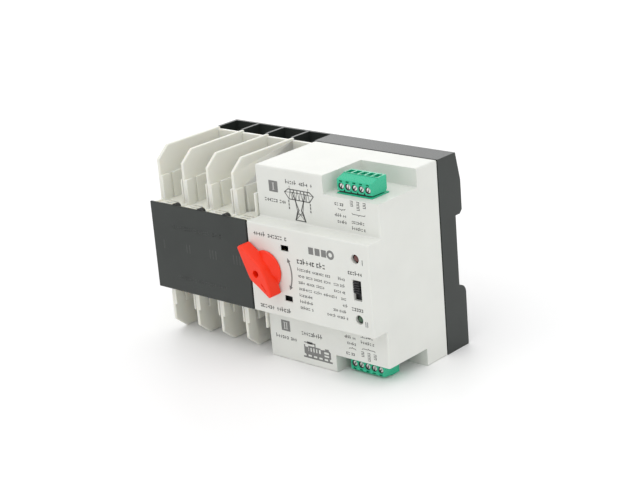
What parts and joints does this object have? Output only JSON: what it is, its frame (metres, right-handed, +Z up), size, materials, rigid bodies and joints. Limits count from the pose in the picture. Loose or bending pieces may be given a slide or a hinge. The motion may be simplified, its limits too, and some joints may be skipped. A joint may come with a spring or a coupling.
{
  "type": "transfer switch",
  "caption": "Rail-mounted four-pole transfer switch with phase barriers, red turn handle, mode slider, lamps and two pull-off green plugs.",
  "frame": {"origin": "bottom centre of the whole switch, on the surface it stands on", "axes": "+Z up, front panel and handle face -Y, +X to the right seen from the front"},
  "size_m": [0.182, 0.0996, 0.125],
  "materials": {
    "dark_plastic": "fine satin moulding",
    "light_plastic": "fine satin moulding",
    "pole_plastic": "warm white satin moulding",
    "red_plastic": "semi-gloss red-orange",
    "green_plastic": "semi-gloss green",
    "copper": "bare copper bar",
    "silver_contact": "silver-plated copper",
    "zinc_steel": "zinc plated",
    "gear_brass": "cut brass",
    "circuit_board": "solder mask",
    "red_lens": "unlit red lamp",
    "green_lens": "unlit green lamp",
    "black_plastic": "black moulding"
  },
  "bodies": {
    "switch_body": {"rear_base": "dark_plastic", "control_housing": "light_plastic", "pole_housing_1": "pole_plastic", "pole_housing_2": "pole_plastic", "pole_housing_3": "pole_plastic", "pole_housing_4": "pole_plastic", "front_cover": "dark_plastic", "base_screw_1": "zinc_steel", "base_screw_2": "zinc_steel", "base_screw_3": "zinc_steel", "base_screw_4": "zinc_steel", "base_screw_5": "zinc_steel", "base_screw_6": "zinc_steel", "source_a_terminal_1": "copper", "source_a_terminal_2": "copper", "source_a_terminal_3": "copper", "source_a_terminal_4": "copper", "source_b_terminal_1": "copper", "source_b_terminal_2": "copper", "source_b_terminal_3": "copper", "source_b_terminal_4": "copper", "source_a_screw_1": "zinc_steel", "source_a_screw_2": "zinc_steel", "source_a_screw_3": "zinc_steel", "source_a_screw_4": "zinc_steel", "source_b_screw_1": "zinc_steel", "source_b_screw_2": "zinc_steel", "source_b_screw_3": "zinc_steel", "source_b_screw_4": "zinc_steel", "load_terminal_1": "copper", "load_terminal_2": "copper", "load_terminal_3": "copper", "load_terminal_4": "copper", "motor": "zinc_steel", "mechanism_plate": "zinc_steel", "microswitch_a": "black_plastic", "microswitch_b": "black_plastic", "front_board": "circuit_board", "main_board": "circuit_board", "relay": "black_plastic", "lamp_a": "red_lens", "lamp_b": "green_lens", "slide_switch_body": "black_plastic", "header_a": "green_plastic", "header_b": "green_plastic"},
    "turn_handle": {"handle": "red_plastic", "handle_spindle": "zinc_steel", "crank_disc": "zinc_steel", "sector_gear": "gear_brass", "indicator_flag": "black_plastic"},
    "contacts": {"contact_carrier": "black_plastic", "moving_contact_1": "silver_contact", "moving_contact_2": "silver_contact", "moving_contact_3": "silver_contact", "moving_contact_4": "silver_contact"},
    "pinion": {"motor_pinion": "gear_brass"},
    "mode_knob": {"slide_knob": "black_plastic"},
    "plug_upper": {"plug_a": "green_plastic"},
    "plug_lower": {"plug_b": "green_plastic"},
    "clip": {"rail_clip": "black_plastic"}
  },
  "joints": [
    {"name": "handle_turn", "type": "hinge", "parent": "switch_body", "child": "turn_handle", "pos_m": [0.0088, -0.0396, 0.0634], "axis": [0, -1, 0], "range_deg": [0, 102]},
    {"name": "contact_slide", "type": "slide", "parent": "switch_body", "child": "contacts", "axis": [0, 0, 1], "range_m": [0, 0.01168]},
    {"name": "pinion_spin", "type": "hinge", "parent": "switch_body", "child": "pinion", "pos_m": [0.0348, -0.0276, 0.0634], "axis": [0, -1, 0], "range_deg": [-340.2, 0]},
    {"name": "mode_slide", "type": "slide", "parent": "switch_body", "child": "mode_knob", "axis": [0, 0, -1], "range_m": [0, 0.0045]},
    {"name": "plug_a_pull", "type": "slide", "parent": "switch_body", "child": "plug_upper", "axis": [0, 0, 1], "range_m": [0, 0.015]},
    {"name": "plug_b_pull", "type": "slide", "parent": "switch_body", "child": "plug_lower", "axis": [0, 0, -1], "range_m": [0, 0.015]},
    {"name": "rail_clip_slide", "type": "slide", "parent": "switch_body", "child": "clip", "axis": [0, 0, -1], "range_m": [0, 0.005], "stiffness_N_per_m": 800}
  ],
  "couplings": [
    {"joint": "contact_slide", "follows": "handle_turn", "m_per_rad": 0.0065481},
    {"joint": "pinion_spin", "follows": "handle_turn", "ratio": -3.3333}
  ]
}
